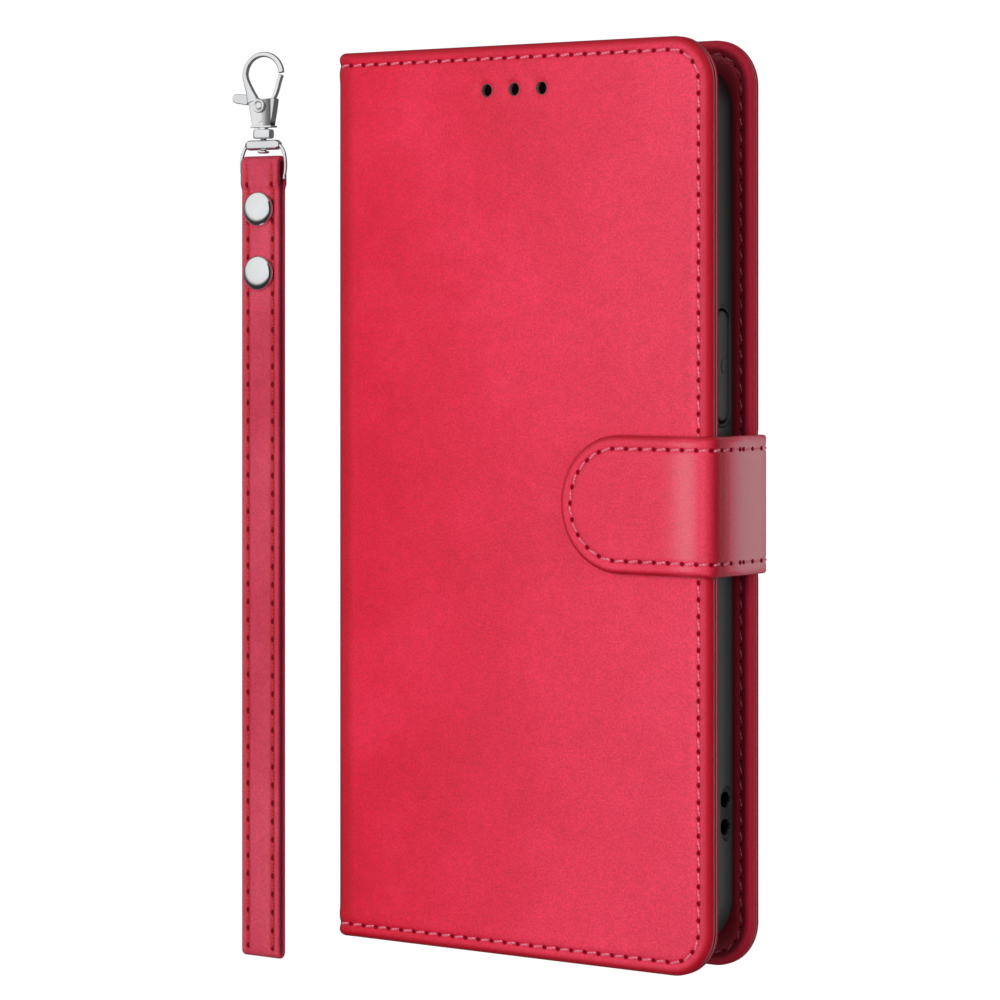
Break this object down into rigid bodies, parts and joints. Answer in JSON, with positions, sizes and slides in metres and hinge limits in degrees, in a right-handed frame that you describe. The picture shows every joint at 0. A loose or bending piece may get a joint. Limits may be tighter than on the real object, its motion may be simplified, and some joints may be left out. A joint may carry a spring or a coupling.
{
  "type": "folding phone wallet case with wrist strap",
  "caption": "Book-style leather phone case, closed by a magnetic strap, with a moulded phone shell, card pockets and a riveted wrist strap on a swivel hook.",
  "frame": {"origin": "middle of the back cover's outer face, which rests on the table", "axes": "+X to the edge that opens, +Y to the top of the case, +Z out of the front cover"},
  "size_m": [0.1246, 0.1796, 0.0192],
  "materials": {
    "crimson_leather": "fine-grained polyurethane leather, satin",
    "dark_red_lining": "smooth dark red lining, matt",
    "grey_board": "compressed grey fibre board, matt",
    "shell_black": "moulded flexible plastic, satin",
    "dusty_red_strap": "padded strap leather, satin",
    "plated_steel": "polished plating",
    "magnet_steel": "bare metal disc"
  },
  "bodies": {
    "back_cover": {"back_cover_leather": "crimson_leather", "back_cover_board": "grey_board", "back_cover_lining": "dark_red_lining", "phone_shell": "shell_black", "clasp_anchor": "crimson_leather"},
    "volume_key": {"volume_button": "shell_black"},
    "power_key": {"power_button": "shell_black"},
    "spine": {"spine_leather": "crimson_leather", "spine_board": "grey_board", "spine_lining": "dark_red_lining"},
    "front_cover": {"front_cover_leather": "crimson_leather", "front_cover_board": "grey_board", "front_cover_lining": "dark_red_lining", "cover_magnet": "magnet_steel", "cash_pocket_panel": "dark_red_lining", "card_pocket_1": "dark_red_lining", "card_pocket_2": "dark_red_lining", "card_pocket_3": "dark_red_lining"},
    "clasp_side": {"clasp_side_leather": "crimson_leather", "clasp_side_lining": "dark_red_lining"},
    "clasp_tongue": {"clasp_tongue_leather": "crimson_leather", "clasp_tongue_lining": "dark_red_lining", "clasp_magnet": "magnet_steel"},
    "wrist_strap": {"wrist_strap_loop": "dusty_red_strap", "rivet_cap_upper": "plated_steel", "rivet_cap_lower": "plated_steel", "rivet_base_upper": "plated_steel", "rivet_base_lower": "plated_steel"},
    "ring": {"swivel_ring": "plated_steel"},
    "hook": {"hook_body": "plated_steel", "swivel_post": "plated_steel", "gate_rivet": "plated_steel", "gate_spring": "plated_steel"},
    "gate": {"hook_gate": "plated_steel"}
  },
  "joints": [
    {"name": "volume_press", "type": "slide", "parent": "back_cover", "child": "volume_key", "axis": [-1, 0, 0], "range_m": [0, 0.0004], "stiffness_N_per_m": 1000, "springref_m": -0.0004},
    {"name": "power_press", "type": "slide", "parent": "back_cover", "child": "power_key", "axis": [-1, 0, 0], "range_m": [0, 0.0004], "stiffness_N_per_m": 1000, "springref_m": -0.0004},
    {"name": "spine_hinge", "type": "hinge", "parent": "back_cover", "child": "spine", "pos_m": [-0.0407, 0, 0.0015], "axis": [0, -1, 0], "range_deg": [0, 90]},
    {"name": "front_cover_hinge", "type": "hinge", "parent": "spine", "child": "front_cover", "pos_m": [-0.0407, 0, 0.0155], "axis": [0, -1, 0], "range_deg": [0, 180], "deforming": ["clasp_tongue_leather", "clasp_tongue_lining", "clasp_magnet"]},
    {"name": "clasp_side_hinge", "type": "hinge", "parent": "back_cover", "child": "clasp_side", "pos_m": [0.0432, 0, 0.0008], "axis": [0, 1, 0], "range_deg": [0, 90]},
    {"name": "clasp_tongue_hinge", "type": "hinge", "parent": "clasp_side", "child": "clasp_tongue", "pos_m": [0.0432, 0, 0.0185], "axis": [0, 1, 0], "range_deg": [0, 90]},
    {"name": "wrist_strap_away", "type": "slide", "parent": "back_cover", "child": "wrist_strap", "axis": [-1, 0, 0], "range_m": [0, 0.12]},
    {"name": "ring_swing", "type": "hinge", "parent": "wrist_strap", "child": "ring", "pos_m": [-0.0728, 0.0612, 0.0019], "axis": [1, 0, 0], "range_deg": [0, 100]},
    {"name": "hook_swivel", "type": "hinge", "parent": "ring", "child": "hook", "pos_m": [-0.0728, 0.0692, 0.0019], "axis": [0, 1, 0], "continuous": true},
    {"name": "gate_hinge", "type": "hinge", "parent": "hook", "child": "gate", "pos_m": [-0.0731, 0.07565, 0.0019], "axis": [0, 0, 1], "range_deg": [0, 25], "stiffness_Nm_per_rad": 0.004, "springref_deg": -20.05, "deforming": ["gate_spring"]}
  ]
}
